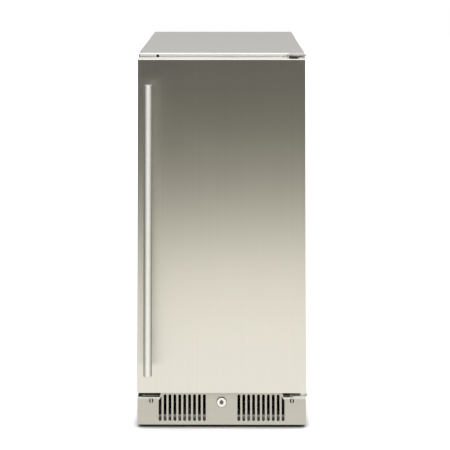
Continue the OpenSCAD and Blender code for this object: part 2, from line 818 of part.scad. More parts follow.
// Outside of the door drawn in by a margin: its four front edges are rounded
module door_slab(margin, back) {
    r = door_edge_r - margin;
    x = door_x - margin;
    y0 = door_front + margin;
    z0 = door_bottom + margin;
    z1 = door_top - margin;
    intersection() {
        translate([0, 0, z0]) linear_extrude(z1 - z0) {
            for (s = [-1, 1]) translate([s * (x - r), y0 + r]) circle(r);
            translate([-x, y0 + r]) square([2 * x, back - y0 - r]);
            translate([-x + r, y0]) square([2 * (x - r), back - y0]);
        }
        side_prism(-x, x) {
            for (z = [z0 + r, z1 - r]) translate([y0 + r, z]) circle(r);
            translate([y0 + r, z0]) square([back - y0 - r, z1 - z0]);
            translate([y0, z0 + r]) square([back - y0, z1 - z0 - 2 * r]);
        }
    }
}

// Sleeves of both hinge bushes, grown by a margin
module bush_sleeves(margin) {
    z_rod([pin_x, pin_y, door_bottom - e], bush_d + margin, bush_l);
    z_rod([pin_x, pin_y, door_top - bush_l + e], bush_d + margin, bush_l);
}

// Slot in the door's bottom edge that the lock's cam turns up into
module cam_pocket(depth) {
    block([-23, cam_y - 2.5, door_bottom - 1], [23, cam_y + cam_t + 2.5, door_bottom + depth]);
}

module door_outer_panel() {
    x = door_x - door_return;
    color([0.80, 0.79, 0.75]) difference() {
        door_slab(0, door_back);
        door_slab(door_skin, door_back - door_skin);
        block([-x, door_back - 2, door_bottom + door_return], [x, door_back + e, door_top - door_return]);
        bush_sleeves(0);
        cam_pocket(2);
        for (z = post_z) y_rod([bar_x, door_front - e, z], bolt_d + 0.4, 3);
    }
}

// One rounded rectangle of the door's inner panel, drawn in from the edge of the dike
module dike_prism(inset, y0, y1) {
    x = liner_x - dike_gap - inset;
    front_prism(y0, y1)
        rounded([-x, liner_floor + dike_gap + inset], [x, liner_top - dike_gap - inset], corner_r);
}

module door_inner_panel() {
    seat = door_back - door_skin;
    x = door_x - 3;
    floor_y = dike_back - dike_recess;
    color([0.94, 0.94, 0.92]) difference() {
        union() {
            block([-x, seat - liner_t, door_bottom + 3], [x, seat, door_top - 3]);
            dike_prism(0, seat - liner_t, dike_back);
        }
        difference() {
            dike_prism(liner_t, seat - liner_t - e, dike_back - liner_t);
            dike_prism(dike_w - liner_t, floor_y - liner_t, dike_back);
        }
        dike_prism(dike_w, floor_y, dike_back + e);
    }
}

module door_foam() {
    seat = door_back - door_skin - liner_t;
    floor_y = dike_back - dike_recess - liner_t;
    color([0.90, 0.83, 0.62]) difference() {
        union() {
            door_slab(door_skin, seat);
            dike_prism(liner_t, seat - e, dike_back - liner_t);
        }
        dike_prism(dike_w - liner_t, floor_y, dike_back);
        bush_sleeves(0.2);
        cam_pocket(14);
        for (z = post_z) y_rod([bar_x, door_front, z], 14, 8);
    }
}

// Rectangular ring behind the door: from its outer edge inwards over a width
module seal_ring(inset, width, y0, y1) {
    a = inset;
    b = inset + width;
    difference() {
        block([-gasket_x + a, y0, gasket_bottom + a], [gasket_x - a, y1, gasket_top - a]);
        block([-gasket_x + b, y0 - e, gasket_bottom + b], [gasket_x - b, y1 + e, gasket_top - b]);
    }
}

module door_gasket() {
    base_y = door_back - door_skin;
    color([0.60, 0.60, 0.59]) difference() {
        seal_ring(0, gasket_w, base_y, front_y - 0.1);
        seal_ring(-1, 2.5, base_y + 2.6, base_y + 4.2);
        seal_ring(gasket_w - 1.5, 2.5, base_y + 2.6, base_y + 4.2);
        seal_ring(3.9, 6.2, base_y - e, front_y - 1);
    }
}

module gasket_magnets() {
    y0 = front_y - 4;
    y1 = front_y - 1.1;
    inset = 4;
    w = 6;
    x = gasket_x - inset;
    z0 = gasket_bottom + inset;
    z1 = gasket_top - inset;
    color([0.28, 0.22, 0.20]) {
        for (s = [-1, 1]) block([s * x - (s > 0 ? w : 0), y0, z0], [s * x + (s > 0 ? 0 : w), y1, z1]);
        for (z = [z0, z1 - w]) block([-x + w + 1, y0, z], [x - w - 1, y1, z + w]);
    }
}

// ---- Handle ----

module handle_bar() {
    wall = 1.5;
    chamfer = 0.8;
    z0 = bar_z - bar_l / 2;
    color([0.86, 0.86, 0.84]) difference() {
        translate([bar_x, bar_y, z0]) {
            cylinder(h = chamfer, d1 = bar_d - 2 * chamfer, d2 = bar_d);
            translate([0, 0, chamfer]) cylinder(h = bar_l - 2 * chamfer, d = bar_d);
            translate([0, 0, bar_l - chamfer]) cylinder(h = chamfer, d1 = bar_d, d2 = bar_d - 2 * chamfer);
        }
        z_rod([bar_x, bar_y, z0 + 3], bar_d - 2 * wall, bar_l - 6);
        for (z = post_z) y_rod([bar_x, bar_y, z], 4, bar_d);
    }
}

module handle_posts() {
    color([0.84, 0.84, 0.82]) for (z = post_z) difference() {
        y_rod([bar_x, bar_y, z], post_d, bar_standoff);
        z_rod([bar_x, bar_y, z - post_d], bar_d, 2 * post_d);
        y_rod([bar_x, door_front - 14, z], bolt_d, 15);
    }
}

module handle_screws() {
    color([0.60, 0.60, 0.58]) for (z = post_z)
        translate([bar_x, door_front + door_skin, z]) rotate([90, 0, 0]) screw(bolt_d, 12);
}

// ---- Hinges ----

module hinge_bushes() {
    bore = pin_d + 2 * play;
    color([0.90, 0.90, 0.88]) {
        difference() {
            union() {
                z_rod([pin_x, pin_y, door_bottom], bush_d, bush_l - e);
                z_rod([pin_x, pin_y, door_bottom - 5], bush_flange_d, 5);
            }
            z_rod([pin_x, pin_y, door_bottom - 6], bore, bush_l + 8);
        }
        difference() {
            union() {
                z_rod([pin_x, pin_y, door_top - bush_l + e], bush_d, bush_l - e);
                z_rod([pin_x, pin_y, door_top], bush_flange_d, 2.5);
            }
            z_rod([pin_x, pin_y, door_top - bush_l - 1], bore, bush_l + 8);
        }
    }
}

// Hinge plate seen from above: straight sides, a round nose about the pin and one clipped corner
module hinge_plate() {
    difference() {
        union() {
            translate([pin_x, pin_y]) circle(nose_r);
            translate([hinge_left, pin_y - nose_r]) square([pin_x - hinge_left, nose_r * 2]);
            translate([hinge_left, pin_y]) square([half_w - hinge_left - 1, front_y - pin_y]);
        }
        translate([hinge_left, pin_y - nose_r]) rotate(45) square(12, center = true);
        translate([pin_x, pin_y]) circle(d = pin_d);
    }
}

module top_hinge_bracket() {
    color([0.82, 0.82, 0.80]) {
        translate([0, 0, top_plate_z]) linear_extrude(plate_t) hinge_plate();
        difference() {
            block([hinge_left, front_y - plate_t, top_plate_z - 17], [half_w - 5, front_y, top_plate_z + e]);
            for (x = hinge_screw_x) y_rod([x, front_y - plate_t - e, top_screw_z], bolt_d, plate_t + 2 * e);
        }
    }
}

module bottom_hinge_bracket() {
    color([0.82, 0.82, 0.80]) difference() {
        translate([0, 0, low_plate_z]) linear_extrude(plate_t) hinge_plate();
        for (x = hinge_screw_x) z_rod([x, low_screw_y, low_plate_z - e], bolt_d, plate_t + 2 * e);
    }
}

// Black nylon packing between the top hinge plate and the door
module hinge_spacer() {
    z0 = door_top + 0.8;
    z1 = top_plate_z;
    color([0.08, 0.08, 0.08]) front_prism(pin_y - 8, front_y - plate_t)
        polygon([[hinge_left, z1], [hinge_left + 9, z0], [pin_x - bush_flange_d / 2 - 1, z0],
            [pin_x - bush_flange_d / 2 - 1, z1]]);
}

module hinge_pins() {
    color([0.70, 0.70, 0.70]) {
        z_rod([pin_x, pin_y, low_plate_z], pin_d, door_bottom + bush_l - 2 - low_plate_z);
        z_rod([pin_x, pin_y, low_plate_z + plate_t], collar_d, door_bottom - 5.1 - low_plate_z - plate_t);
        z_rod([pin_x, pin_y, door_top - bush_l + 2], pin_d, top_plate_z + plate_t - door_top + bush_l - 2);
    }
}

// Stainless M5 screws of the hinges and the grille, and the one beside the top hinge
module cabinet_screws() {
    color([0.75, 0.75, 0.74]) {
        for (x = hinge_screw_x) front_screw([x, front_y - plate_t, top_screw_z], bolt_d, hinge_screw_l);
        for (x = hinge_screw_x)
            translate([x, low_screw_y, low_plate_z + plate_t]) rotate([180, 0, 0]) screw(bolt_d, hinge_screw_l);
        for (s = [-1, 1]) front_screw([s * lug_x, grille_front, lug_z], bolt_d, 6);
        front_screw([reverse_x, front_y, reverse_z], 4.5, 8);
        for (p = rear_screws(floor_z + 2, bulk_high + 2))
            translate([p[0], back_y, p[1]]) rotate([90, 0, 0]) screw(4, 8);
    }
}

// ---- Kick grille and lock ----

// Front outline: notched beside the hinges, with the lower corners rounded
module grille_outline(margin) {
    x = door_x - margin;
    m = margin;
    intersection() {
        polygon([[-x, grille_bottom + m], [x, grille_bottom + m], [x, notch_z - m], [notch_x - m, notch_z - m],
            [notch_x - notch_slope - m, grille_top - m], [-notch_x + notch_slope + m, grille_top - m],
            [-notch_x + m, notch_z - m], [-x, notch_z - m]]);
        rounded([-x, grille_bottom + m], [x, grille_top + 40], 3);
    }
}

module grille_slots() {
    r = slot_w / 2;
    for (s = [-1, 1], i = [0:slot_count - 1]) {
        x = s * (slot_x0 + i * slot_pitch);
        translate([x, slot_z0 + r]) circle(r);
        translate([x, slot_z1 - r]) circle(r);
        translate([x - r, slot_z0 + r]) square([slot_w, slot_z1 - slot_z0 - slot_w]);
    }
}

module kick_grille() {
    x = door_x;
    t = grille_t;
    flange_back = front_y - 1.4;
    color([0.80, 0.80, 0.77]) {
        difference() {
            front_prism(grille_front, ear_y) difference() {
                grille_outline(0);
                difference() {
                    grille_slots();
                    for (s = [-1, 1]) mirror([s < 0 ? 1 : 0, 0]) polygon([[notch_x - 8.4, grille_top + 1],
                        [notch_x - 8.4, grille_top - 4], [notch_x + 4, notch_z - 9], [x, notch_z - 9], [x, grille_top + 1]]);
                }
            }
            y_rod([0, grille_front - e, lock_z], barrel_d, t + 2 * e);
            for (s = [-1, 1]) y_rod([s * lug_x, grille_front - e, lug_z], bolt_d, t + 2 * e);
        }
        for (s = [-1, 1]) mirror([s < 0 ? 1 : 0, 0, 0]) {
            block([x - t, ear_y - e, grille_bottom + 3], [x, flange_back, notch_z - t]);
            block([notch_x, ear_y - e, notch_z - t], [x, ear_y + notch_fold, notch_z]);
        }
        block([-x + 3, ear_y - e, grille_bottom], [x - 3, flange_back, grille_bottom + t]);
        block([-notch_x + notch_slope, ear_y - e, grille_top - t], [notch_x - notch_slope, ear_y + 10, grille_top]);
    }
}

module lock_body() {
    color([0.85, 0.85, 0.84]) difference() {
        union() {
            y_rod([0, grille_front - 1.5, lock_z], 22, 1.5);
            translate([0, grille_front - 2.5, lock_z]) rotate([-90, 0, 0]) cylinder(h = 1, d1 = 20, d2 = 22);
            y_rod([0, grille_front, lock_z], barrel_d, cam_y - 1 - grille_front);
        }
        y_rod([0, grille_front - 3, lock_z], plug_d + 2 * play, 40);
    }
}

module lock_nut() {
    color([0.65, 0.65, 0.62]) difference() {
        translate([0, ear_y, lock_z]) rotate([-90, 0, 0]) cylinder(h = 4, d = 27, $fn = 6);
        y_rod([0, ear_y - e, lock_z], barrel_d, 4 + 2 * e);
    }
}

module lock_cylinder() {
    y0 = grille_front - 2;
    color([0.80, 0.80, 0.79]) {
        difference() {
            y_rod([0, y0, lock_z], plug_d, cam_y - y0);
            difference() {
                y_rod([0, y0 - e, lock_z], 8.6, 5);
                y_rod([0, y0 - e, lock_z], 4.6, 5);
            }
            block([-1, y0 - e, lock_z + 3], [1, y0 + 3, lock_z + 5.2]);
        }
        block([-3, cam_y - e, lock_z - 3], [3, cam_y + cam_t, lock_z + 3]);
        y_rod([0, cam_y + cam_t, lock_z], 9, 2.5);
    }
}

module lock_cam() {
    r = cam_w / 2;
    color([0.62, 0.62, 0.60]) front_prism(cam_y, cam_y + cam_t) difference() {
        union() {
            translate([0, lock_z]) circle(r + 2);
            translate([-cam_reach + r, lock_z]) circle(r);
            translate([-cam_reach + r, lock_z - r]) square([cam_reach - r, cam_w]);
        }
        translate([-3, lock_z - 3]) square(6);
    }
}

// ---- Levelling legs ----

module leg_stem(sx, sy) {
    color([0.65, 0.65, 0.64]) translate([sx * leg_x, sy * leg_y, 0]) {
        translate([0, 0, 3]) cylinder(h = stem_top - 3, d = stem_d);
        translate([0, 0, pad_h + 0.2]) cylinder(h = 2.6, d = 15, $fn = 6);
    }
}

module leg_pad(sx, sy) {
    color([0.10, 0.10, 0.10]) translate([sx * leg_x, sy * leg_y, 0]) difference() {
        union() {
            cylinder(h = pad_h - 3, d = pad_d);
            translate([0, 0, pad_h - 3]) cylinder(h = 3, d1 = pad_d, d2 = pad_d - 8);
        }
        translate([0, 0, 3]) cylinder(h = pad_h, d = stem_d + 2 * play);
    }
}

module leg_stem_front_left() { leg_stem(-1, -1); }
module leg_stem_front_right() { leg_stem(1, -1); }
module leg_stem_rear_left() { leg_stem(-1, 1); }
module leg_stem_rear_right() { leg_stem(1, 1); }
module leg_pad_front_left() { leg_pad(-1, -1); }
module leg_pad_front_right() { leg_pad(1, -1); }
module leg_pad_rear_left() { leg_pad(-1, 1); }
module leg_pad_rear_right() { leg_pad(1, 1); }

cabinet_side_left();
cabinet_side_right();
cabinet_top();
cabinet_back();
rear_cover();
base_pan();
lower_front_frame();
machine_bulkhead();
inner_liner();
cabinet_foam();
shelf_upper();
shelf_middle();
shelf_lower();
control_box();
thermostat_dial();
light_switch();
led_lamp();
temperature_sensor();
evaporator_coil();
evaporator_cover();
evaporator_fan_motor();
evaporator_fan_blade();
drain_tube();
compressor();
compressor_grommets();
terminal_cover();
condenser_coil();
condenser_fan_motor();
condenser_fan_blade();
filter_drier();
refrigerant_pipes();
condensate_pan();
power_cord();
door_outer_panel();
door_inner_panel();
door_foam();
door_gasket();
gasket_magnets();
handle_bar();
handle_posts();
handle_screws();
hinge_bushes();
top_hinge_bracket();
bottom_hinge_bracket();
hinge_spacer();
hinge_pins();
cabinet_screws();
kick_grille();
lock_body();
lock_nut();
lock_cylinder();
lock_cam();
leg_stem_front_left();
leg_stem_front_right();
leg_stem_rear_left();
leg_stem_rear_right();
leg_pad_front_left();
leg_pad_front_right();
leg_pad_rear_left();
leg_pad_rear_right();
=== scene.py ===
# Looks of an undercounter refrigerator with a stainless door: materials, soft pieces, studio and camera.
# Metres, in the CAD frame: +Z up, the front faces -Y, the origin is on the floor between the legs.

import math

import bpy
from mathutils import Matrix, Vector


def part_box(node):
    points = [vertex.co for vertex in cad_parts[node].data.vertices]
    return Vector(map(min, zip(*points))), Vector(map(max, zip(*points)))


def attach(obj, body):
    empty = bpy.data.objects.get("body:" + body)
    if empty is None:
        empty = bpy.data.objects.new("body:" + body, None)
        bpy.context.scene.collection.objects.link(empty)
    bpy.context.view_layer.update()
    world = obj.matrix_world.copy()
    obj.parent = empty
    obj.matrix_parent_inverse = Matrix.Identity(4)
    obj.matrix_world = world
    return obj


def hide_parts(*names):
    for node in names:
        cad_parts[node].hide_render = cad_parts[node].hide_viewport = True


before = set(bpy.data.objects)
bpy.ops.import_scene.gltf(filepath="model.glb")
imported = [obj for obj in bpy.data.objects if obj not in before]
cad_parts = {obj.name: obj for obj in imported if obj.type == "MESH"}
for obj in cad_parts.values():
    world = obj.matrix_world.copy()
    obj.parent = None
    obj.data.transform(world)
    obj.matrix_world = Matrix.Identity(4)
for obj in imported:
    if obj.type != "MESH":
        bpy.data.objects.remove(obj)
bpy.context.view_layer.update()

MM = 0.001
X, Y, Z = (1, 0, 0), (0, 1, 0), (0, 0, 1)

door_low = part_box("door_outer_panel")[0]
top_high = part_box("cabinet_top")[1]
grille_low, grille_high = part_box("kick_grille")
side_low, side_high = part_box("cabinet_side_left")

# Places on the grille, from its box: the notches beside the hinges, the two screws and the lock
NOTCH_X = grille_high.x - 49.7 * MM
NOTCH_Z = grille_high.z - 9.9 * MM
GRILLE_SCREW_X = grille_high.x - 30.9 * MM
LOCK_Z = grille_high.z - 20.2 * MM
KEYWAY_R = 4.3 * MM
ON_GRILLE_Y = side_low.y - 20 * MM


# ---- Node trees ----


class Tree:
    """The node tree of a material or of the world, with a short call for each kind of node."""

    def __init__(self, owner):
        owner.use_nodes = True
        self.owner = owner
        self.tree = owner.node_tree
        self.tree.nodes.clear()

    def node(self, kind, inputs=None, **settings):
        made = self.tree.nodes.new("ShaderNode" + kind)
        for key, value in settings.items():
            setattr(made, key, value)
        for key, value in (inputs or {}).items():
            if isinstance(value, bpy.types.NodeSocket):
                self.tree.links.new(value, made.inputs[key])
            elif isinstance(value, tuple) and len(value) == 3 and made.inputs[key].type == "RGBA":
                made.inputs[key].default_value = (*value, 1.0)
            else:
                made.inputs[key].default_value = value
        return made

    def math(self, operation, a, b=0.0):
        return self.node("Math", {0: a, 1: b}, operation=operation).outputs[0]

    def vector(self, operation, a, b=(0, 0, 0)):
        made = self.node("VectorMath", {0: a, 1: b}, operation=operation)
        return made.outputs["Value" if operation == "DOT_PRODUCT" else "Vector"]

    def place(self, factors=(1, 1, 1)):
        """Object coordinates in metres, multiplied by one factor for each axis."""
        return self.vector("MULTIPLY", self.node("TexCoord").outputs["Object"], factors)

    def turned(self, axis):
        """An axis of the CAD frame as it lies once the piece has moved."""
        keys = {"vector_type": "VECTOR", "convert_from": "OBJECT", "convert_to": "WORLD"}
        return self.node("VectorTransform", {0: axis}, **keys).outputs[0]

    def noise(self, where, scale=1.0, detail=2.0):
        return self.node("TexNoise", {"Vector": where, "Scale": scale, "Detail": detail}).outputs[0]

    def spread(self, value, low, high, clamp=False, start=0.0, stop=1.0):
        """Value between start and stop, moved to the range from low to high."""
        keys = {0: value, 1: start, 2: stop, 3: low, 4: high}
        return self.node("MapRange", keys, clamp=clamp).outputs[0]

    def curve(self, value, stops):
        """The level at a value, on straight lines between (value, level) stops that start at value 0."""
        last, most = stops[-1][0], max(level for _, level in stops)
        ramp = self.node("ValToRGB", {0: self.spread(value, 0, 1, True, 0, last)})
        elements = ramp.color_ramp.elements
        elements.remove(elements[1])
        for i, (place, level) in enumerate(stops):
            stop = elements.new(place / last) if i else elements[0]
            stop.color = (level / most, level / most, level / most, 1)
        return self.math("MULTIPLY", ramp.outputs[0], most)

    def mix(self, share, a, b):
        made = self.node("Mix", {"Factor": share, 6: a, 7: b}, data_type="RGBA")
        return made.outputs[2]

    def tint(self, color, brightness):
        """Color times a brightness socket."""
        keys = {"data_type": "RGBA", "blend_type": "MULTIPLY"}
        return self.node("Mix", {"Factor": 1.0, 6: color, 7: brightness}, **keys).outputs[2]

    def edges(self, radius):
        """(normal rounded at the edges, how much of an edge is here from 0 to 1)."""
        rounded = self.node("Bevel", {"Radius": radius}, samples=6).outputs[0]
        flat = self.node("NewGeometry").outputs["Normal"]
        return rounded, self.spread(self.vector("DOT_PRODUCT", rounded, flat), 0, 1, True, 0.99, 0.85)

    def bump(self, height, depth, normal):
        inputs = {"Height": height, "Distance": depth, "Strength": 1.0, "Normal": normal}
        return self.node("Bump", inputs).outputs[0]

    def finish(self, **inputs):
        """Ends a material with a Principled shader; underscores in the names stand for spaces."""
        keys = {name.replace("_", " "): value for name, value in inputs.items()}
        shader = self.node("BsdfPrincipled", keys).outputs[0]
        self.node("OutputMaterial", {"Surface": shader})
        return self.owner


def new_material(name):
    return Tree(bpy.data.materials.new(name))


# ---- Materials ----

STEEL = (0.70, 0.685, 0.645)
BARE_STEEL = (0.35, 0.35, 0.36)
ZINC = (0.56, 0.57, 0.58)
FOAM = (0.80, 0.66, 0.36)
DUST = (0.4, 0.39, 0.37)


def brushed(name, color, roughness, grain, around=False, stretch=0.8, wear=0.0, painted_rim_shade=1.0, rolled=0.4 * MM):
    """Brushed metal, with its grain along an axis or in rings around it.

    Stretch draws highlights out across the grain, wear lightens the edges, the rim factor paints shade
    into the colour of what is seen edge-on, and rolled is the radius of the edges.
    """
    t = new_material(name)
    waves = []
    for fast, slow, detail in ((2600, 14, 3), (190, 1.3, 4)):
        along, across = (fast, slow) if around else (slow, fast)
        waves.append(t.noise(t.place(tuple(along if g else across for g in grain)), detail=detail))
    fine, streaks = waves
    patches = t.noise(t.place(), 7.0, 3)
    normal, edge = t.edges(rolled)
    rough = t.math("ADD", t.spread(fine, -0.06, 0.06), t.spread(streaks, roughness - 0.05, roughness + 0.05))
    rough = t.math("ADD", rough, t.spread(patches, -0.03, 0.03))
    shade = t.math("ADD", t.spread(streaks, 0.955, 1.045), t.spread(patches, -0.02, 0.02))
    shade = t.math("ADD", shade, t.math("MULTIPLY", edge, wear))
    # Painted shade: the colour darkens towards what is seen edge-on
    if painted_rim_shade < 1:
        edge_on = t.node("LayerWeight", {"Blend": 0.5}).outputs["Facing"]
        shade = t.math("MULTIPLY", shade, t.spread(edge_on, 1, painted_rim_shade, True, 0.12, 0.5))
    face = t.node("NewGeometry").outputs["Normal"]
    axis = t.turned(grain)
    end_on = t.math("GREATER_THAN", t.math("ABSOLUTE", t.vector("DOT_PRODUCT", face, axis)), 0.8)
    other = t.turned(Y if grain == X else X)
    axis = t.node("Mix", {"Factor": end_on, 4: axis, 5: other}, data_type="VECTOR").outputs[1]
    tangent = axis if around else t.vector("CROSS_PRODUCT", face, axis)
    return t.finish(
        Base_Color=t.tint(color, shade),
        Metallic=1.0,
        Roughness=rough,
        Anisotropic=stretch,
        Tangent=tangent,
        Normal=t.bump(fine, 0.004 * MM, normal),
    )


def plain_metal(name, color, roughness, stain=None):
    """Metal without a grain, with small pits and, if stain is given, patches of that color."""
    t = new_material(name)
    pits = t.noise(t.place(), 1 / (0.6 * MM), 3)
    patches = t.noise(t.place(), 1 / (12 * MM), 4)
    normal, edge = t.edges(0.25 * MM)
    base = t.mix(t.spread(patches, 0, 1, True, 0.45, 0.7), color, stain or tuple(0.88 * c for c in color))
    smudge = t.spread(patches, roughness - 0.06, roughness + 0.12)
    rough = t.math("ADD", smudge, t.spread(pits, -0.05, 0.05))
    rough = t.math("SUBTRACT", rough, t.math("MULTIPLY", edge, 0.1))     # edges are rubbed smoother
    return t.finish(
        Base_Color=base,
        Metallic=1.0,
        Roughness=rough,
        Normal=t.bump(pits, 0.01 * MM, normal),
    )


def galvanised(name, color):
    """Zinc-coated sheet with its pattern of spangles."""
    t = new_material(name)
    cells = t.node("TexVoronoi", {"Vector": t.place(), "Scale": 130.0}, feature="F1").outputs["Color"]
    spangle = t.node("SeparateColor", {0: cells}).outputs[0]
    cloud = t.noise(t.place(), 22.0, 3)
    normal, _ = t.edges(0.3 * MM)
    shade = t.math("ADD", t.spread(spangle, 0.88, 1.06), t.spread(cloud, -0.06, 0.06))
    return t.finish(
        Base_Color=t.tint(color, shade),
        Metallic=1.0,
        Roughness=t.math("ADD", t.spread(spangle, 0.34, 0.52), t.spread(cloud, -0.05, 0.05)),
        Normal=t.bump(cloud, 0.05 * MM, normal),
    )


def painted(name, color, roughness):
    """Powder-coated metal: orange peel, a little dust and worn edges."""
    t = new_material(name)
    peel = t.noise(t.place(), 900.0, 2)
    dust = t.noise(t.place(), 25.0, 5)
    normal, edge = t.edges(0.4 * MM)
    worn = t.math("MULTIPLY", edge, t.spread(dust, 0, 0.7, True, 0.45, 0.6))
    base = t.mix(t.spread(dust, 0, 0.06, True, 0.4, 0.8), color, DUST)
    return t.finish(
        Base_Color=t.mix(worn, base, BARE_STEEL),
        Roughness=t.spread(dust, roughness - 0.06, roughness + 0.12),
        Specular_IOR_Level=0.5,
        Normal=t.bump(peel, 0.025 * MM, normal),
    )


def plastic(name, color, roughness, peel_size=1.6 * MM, depth=0.006 * MM, glow=0.0):
    """Moulded plastic with a faint texture; glow is how much light it scatters below the surface."""
    t = new_material(name)
    peel = t.noise(t.place(), 1 / peel_size, 2)
    cloud = t.noise(t.place(), 9.0, 4)
    normal, edge = t.edges(0.6 * MM)
    shade = t.math("ADD", t.spread(cloud, 0.97, 1.03), t.math("MULTIPLY", edge, 0.02))
    rough = t.math("ADD", t.spread(cloud, roughness - 0.04, roughness + 0.06), t.spread(peel, -0.03, 0.03))
    return t.finish(
        Base_Color=t.tint(color, shade),
        Roughness=rough,
        Subsurface_Weight=glow,
        Subsurface_Scale=1.5 * MM,
        Normal=t.bump(peel, depth, normal),
    )


def rubber(name, color, roughness):
    """Soft rubber or PVC: matt, finely pored and slightly dusty."""
    t = new_material(name)
    pores = t.noise(t.place(), 2200.0, 2)
    dust = t.noise(t.place(), 40.0, 5)
    normal, _ = t.edges(0.3 * MM)
    pale = tuple(c + 0.06 for c in color)
    rough = t.math("ADD", t.spread(dust, roughness - 0.05, roughness + 0.1), t.spread(pores, -0.04, 0.04))
    return t.finish(
        Base_Color=t.mix(t.spread(dust, 0, 0.6, True, 0.4, 0.8), color, pale),
        Roughness=rough,
        Sheen_Weight=0.15,
        Normal=t.bump(pores, 0.02 * MM, normal),
    )


def foam(name, color):
    """Cut polyurethane foam: cells of about a millimetre in a skin that browns in places."""
    t = new_material(name)
    brown = tuple(0.8 * c for c in color)
    cells = t.node("TexVoronoi", {"Vector": t.place(), "Scale": 900.0}, feature="F1").outputs["Distance"]
    cloud = t.noise(t.place(), 30.0, 4)
    normal, _ = t.edges(0.5 * MM)
    return t.finish(
        Base_Color=t.mix(t.spread(cloud, 0, 0.7, True, 0.45, 0.75), color, brown),
        Roughness=0.85,
        Subsurface_Weight=0.2,
        Subsurface_Scale=2 * MM,
        Normal=t.bump(cells, 0.25 * MM, normal),
    )


def masked(material, mask_of, other):
    """Adds a second, slightly mottled look, which shows where mask_of(tree, place, normal) is 1."""
    t = Tree.__new__(Tree)
    t.owner, t.tree = material, material.node_tree
    surface = t.tree.nodes["Material Output"].inputs[0]
    first = surface.links[0].from_socket
    place = t.node("SeparateXYZ", {0: t.place()}).outputs
    normal = t.node("SeparateXYZ", {0: t.node("NewGeometry").outputs["Normal"]}).outputs
    mottle = t.noise(t.place(), 60.0, 4)
    look = dict(other)
    look["Base Color"] = t.tint(other["Base Color"], t.spread(mottle, 0.8, 1.2))
    look["Roughness"] = t.spread(mottle, other["Roughness"] - 0.08, other["Roughness"] + 0.08)
    look["Normal"] = t.bump(t.noise(t.place(), 900.0, 2), 0.015 * MM, t.edges(0.3 * MM)[0])
    second = t.node("BsdfPrincipled", look).outputs[0]
    both = t.node("MixShader", {0: mask_of(t, place, normal), 1: first, 2: second}).outputs[0]
    t.tree.links.new(both, surface)
    return material


# Painted shade: a near-black look where only shade falls, behind the grille, on the front frame and on the
# front edges of the base pan and foam
PAINTED_SHADE_BLACK = {"Base Color": (0.012, 0.012, 0.012), "Roughness": 0.7}
# Painted shade on the sides of the grille's screws and on the sides of the lock's bezel
SHADED = {"Base Color": (0.05, 0.05, 0.045), "Roughness": 0.55, "Metallic": 0.6}
# Painted shade inside the recess of the lock's cylinder
PAINTED_RECESS_SHADE = {"Base Color": (0.2, 0.2, 0.185), "Roughness": 0.35, "Metallic": 1.0}
# Painted highlight on the grille's fold below its two notches
PAINTED_FOLD_HIGHLIGHT = {"Base Color": (0.63, 0.65, 0.59), "Roughness": 0.36, "Metallic": 1.0}


def behind_grille(t, place, normal):
    """The grille's back and inside, but not the top of its folded edges: where near-black shade is painted.
    """
    inside = t.math("GREATER_THAN", place[1], grille_low.y + 0.6 * MM)
    return t.math("MULTIPLY", inside, t.math("LESS_THAN", normal[2], 0.5))


def folded_edge(t, place, normal):
    """The rolled edge of the grille below its two notches, where a brighter look is painted as a highlight.
    """
    beside = t.math("GREATER_THAN", t.math("ABSOLUTE", place[0]), NOTCH_X)
    highlight_band = t.spread(place[2], 0, 1, True, NOTCH_Z - 4.6 * MM, NOTCH_Z - 2.4 * MM)
    return t.math("MULTIPLY", beside, highlight_band)


def all_but_tabs(t, place, normal):
    """The plate of the front frame, without the part of its tabs that light reaches under the door: where
    near-black shade is painted, fading in over the tabs away from the door's front.
    """
    forward = t.math("LESS_THAN", place[1], side_low.y - 0.3 * MM)
    tab = t.math("GREATER_THAN", place[2], NOTCH_Z - 2.3 * MM)
    lit = t.spread(place[1], 1, 0, True, door_low.y + 17 * MM, door_low.y + 26 * MM)
    return t.math("SUBTRACT", 1.0, t.math("MULTIPLY", t.math("MULTIPLY", forward, tab), lit))


def front_edge(t, place, normal):
    """The front edge of the base pan, and of the foam, which shows through the spare hinge holes: where
    near-black shade is painted.
    """
    return t.math("LESS_THAN", place[1], side_low.y + 14 * MM)


def beside_streak(t, place, normal):
    """The parts of the grille's two screws beside an upright streak of light, where shade is painted."""
    forward = t.math("LESS_THAN", place[1], ON_GRILLE_Y)
    off_centre = t.math("ABSOLUTE", t.math("SUBTRACT", t.math("ABSOLUTE", place[0]), GRILLE_SCREW_X))
    return t.math("MULTIPLY", forward, t.spread(off_centre, 0, 1, True, 0.9 * MM, 1.5 * MM))


def keyway(t, place, normal):
    """The inside of the lock's cylinder and its pin, without the ring on the front: the recess, where a
    darker look is painted as shade.
    """
    across = t.math("POWER", t.math("ABSOLUTE", place[0]), 2)
    upright = t.math("POWER", t.math("ABSOLUTE", t.math("SUBTRACT", place[2], LOCK_Z)), 2)
    near_axis = t.math("LESS_THAN", t.math("ADD", across, upright), KEYWAY_R ** 2)
    return t.math("MAXIMUM", near_axis, t.math("GREATER_THAN", normal[1], -0.75))


def front_rims(t, place, normal):
    """The sides of round pieces that stand out from the grille, where shade is painted."""
    forward = t.math("LESS_THAN", place[1], ON_GRILLE_Y)
    return t.math("MULTIPLY", forward, t.math("GREATER_THAN", normal[1], -0.75))


